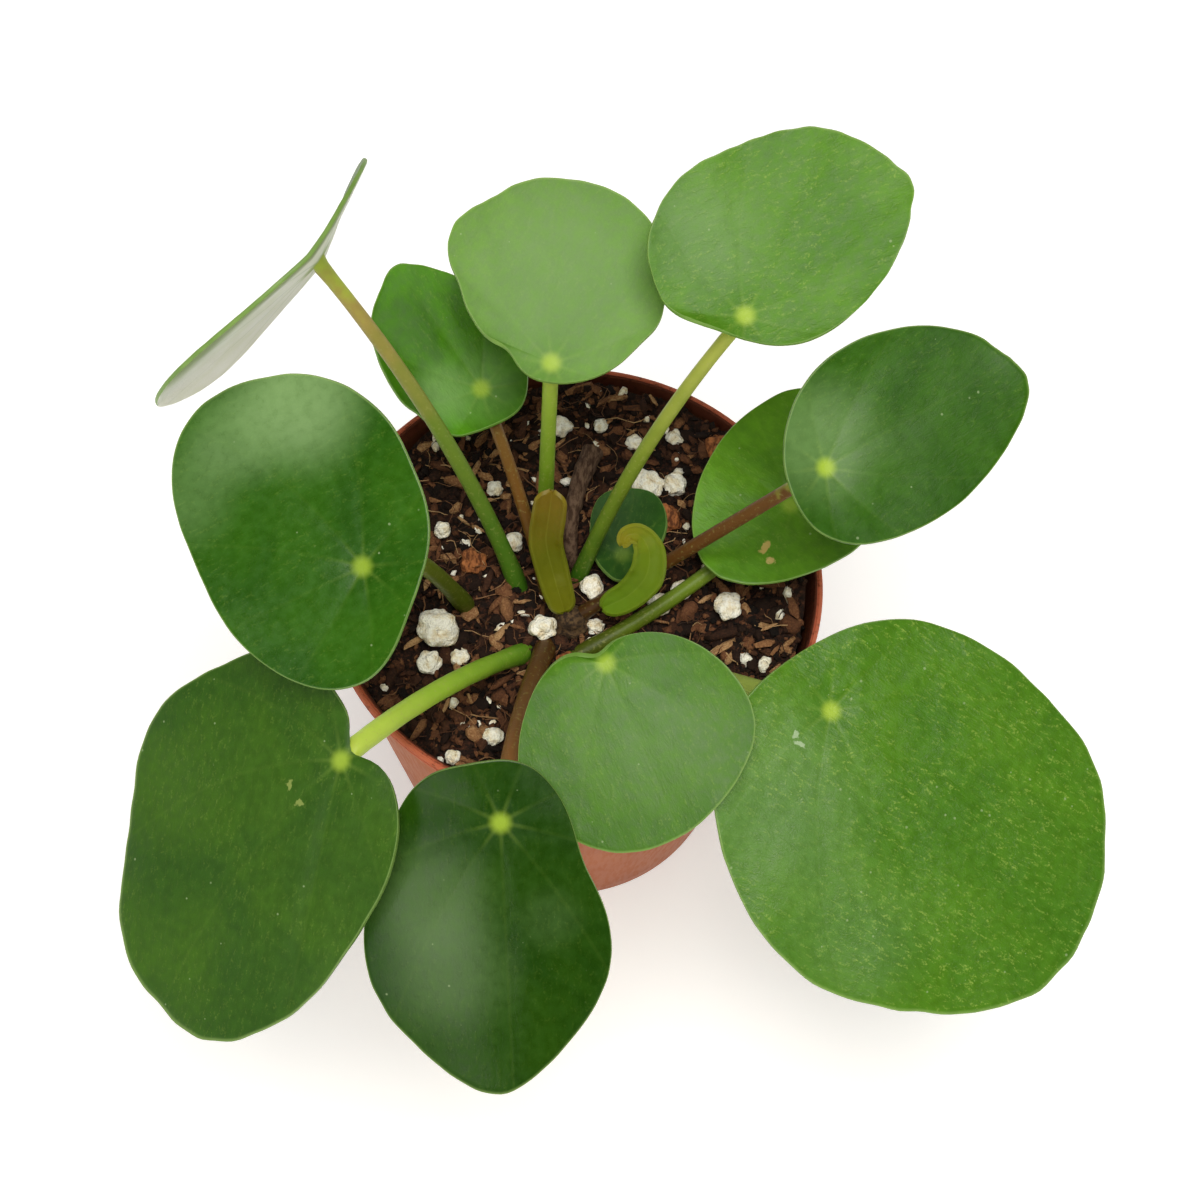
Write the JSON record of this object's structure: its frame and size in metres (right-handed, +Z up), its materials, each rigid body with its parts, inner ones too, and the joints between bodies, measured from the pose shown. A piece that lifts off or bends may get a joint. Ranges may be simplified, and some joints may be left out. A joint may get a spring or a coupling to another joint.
{
  "type": "potted pilea plant",
  "caption": "Small potted house plant with round leaves held on long stalks, standing in soil with perlite in a tapered plastic nursery pot.",
  "frame": {"origin": "middle of the pot's foot, on the surface it stands on", "axes": "+Z up along the pot's axis, -Y towards the side the plant is seen from, +X to that view's right"},
  "size_m": [0.1846, 0.1552, 0.1708],
  "materials": {
    "pot_plastic": "satin",
    "potting_soil": "matt, crumbly",
    "stem_bark": "matt",
    "dry_stalk": "matt",
    "leaf_dark": "satin, waxy",
    "leaf_mid": "satin, waxy",
    "leaf_fresh": "satin, waxy",
    "leaf_light": "satin, waxy",
    "leaf_pale": "satin, waxy",
    "stalk_green": "satin",
    "stalk_olive": "satin",
    "stalk_brown": "satin",
    "young_leaf": "satin, waxy",
    "perlite_grain": "matt, porous",
    "bark_chip": "matt"
  },
  "bodies": {
    "root": {"pot": "pot_plastic", "soil": "potting_soil", "main_stem": "stem_bark", "old_stalk": "dry_stalk", "leaf_blade_01": "leaf_pale", "leaf_blade_02": "leaf_dark", "leaf_blade_03": "leaf_fresh", "leaf_blade_04": "leaf_light", "leaf_blade_05": "leaf_light", "leaf_blade_06": "leaf_mid", "leaf_blade_07": "leaf_fresh", "leaf_blade_08": "leaf_fresh", "leaf_blade_09": "leaf_mid", "leaf_blade_10": "leaf_dark", "leaf_blade_11": "leaf_dark", "leaf_blade_12": "leaf_dark", "leaf_stalk_01": "stalk_olive", "leaf_stalk_02": "stalk_green", "leaf_stalk_03": "stalk_brown", "leaf_stalk_04": "stalk_green", "leaf_stalk_05": "stalk_olive", "leaf_stalk_06": "stalk_brown", "leaf_stalk_07": "stalk_green", "leaf_stalk_08": "stalk_olive", "leaf_stalk_09": "stalk_green", "leaf_stalk_10": "stalk_brown", "leaf_stalk_11": "stalk_green", "leaf_stalk_12": "stalk_green", "young_leaf_1": "young_leaf", "young_leaf_2": "young_leaf", "perlite_01": "perlite_grain", "perlite_02": "perlite_grain", "perlite_03": "perlite_grain", "perlite_04": "perlite_grain", "perlite_05": "perlite_grain", "perlite_06": "perlite_grain", "perlite_07": "perlite_grain", "perlite_08": "perlite_grain", "perlite_09": "perlite_grain", "perlite_10": "perlite_grain", "perlite_11": "perlite_grain", "perlite_12": "perlite_grain", "perlite_13": "perlite_grain", "perlite_14": "perlite_grain", "perlite_15": "perlite_grain", "perlite_16": "perlite_grain", "perlite_17": "perlite_grain", "perlite_18": "perlite_grain", "perlite_19": "perlite_grain", "perlite_20": "perlite_grain", "bark_chip_1": "bark_chip", "bark_chip_2": "bark_chip", "bark_chip_3": "bark_chip", "bark_chip_4": "bark_chip"}
  },
  "joints": []
}
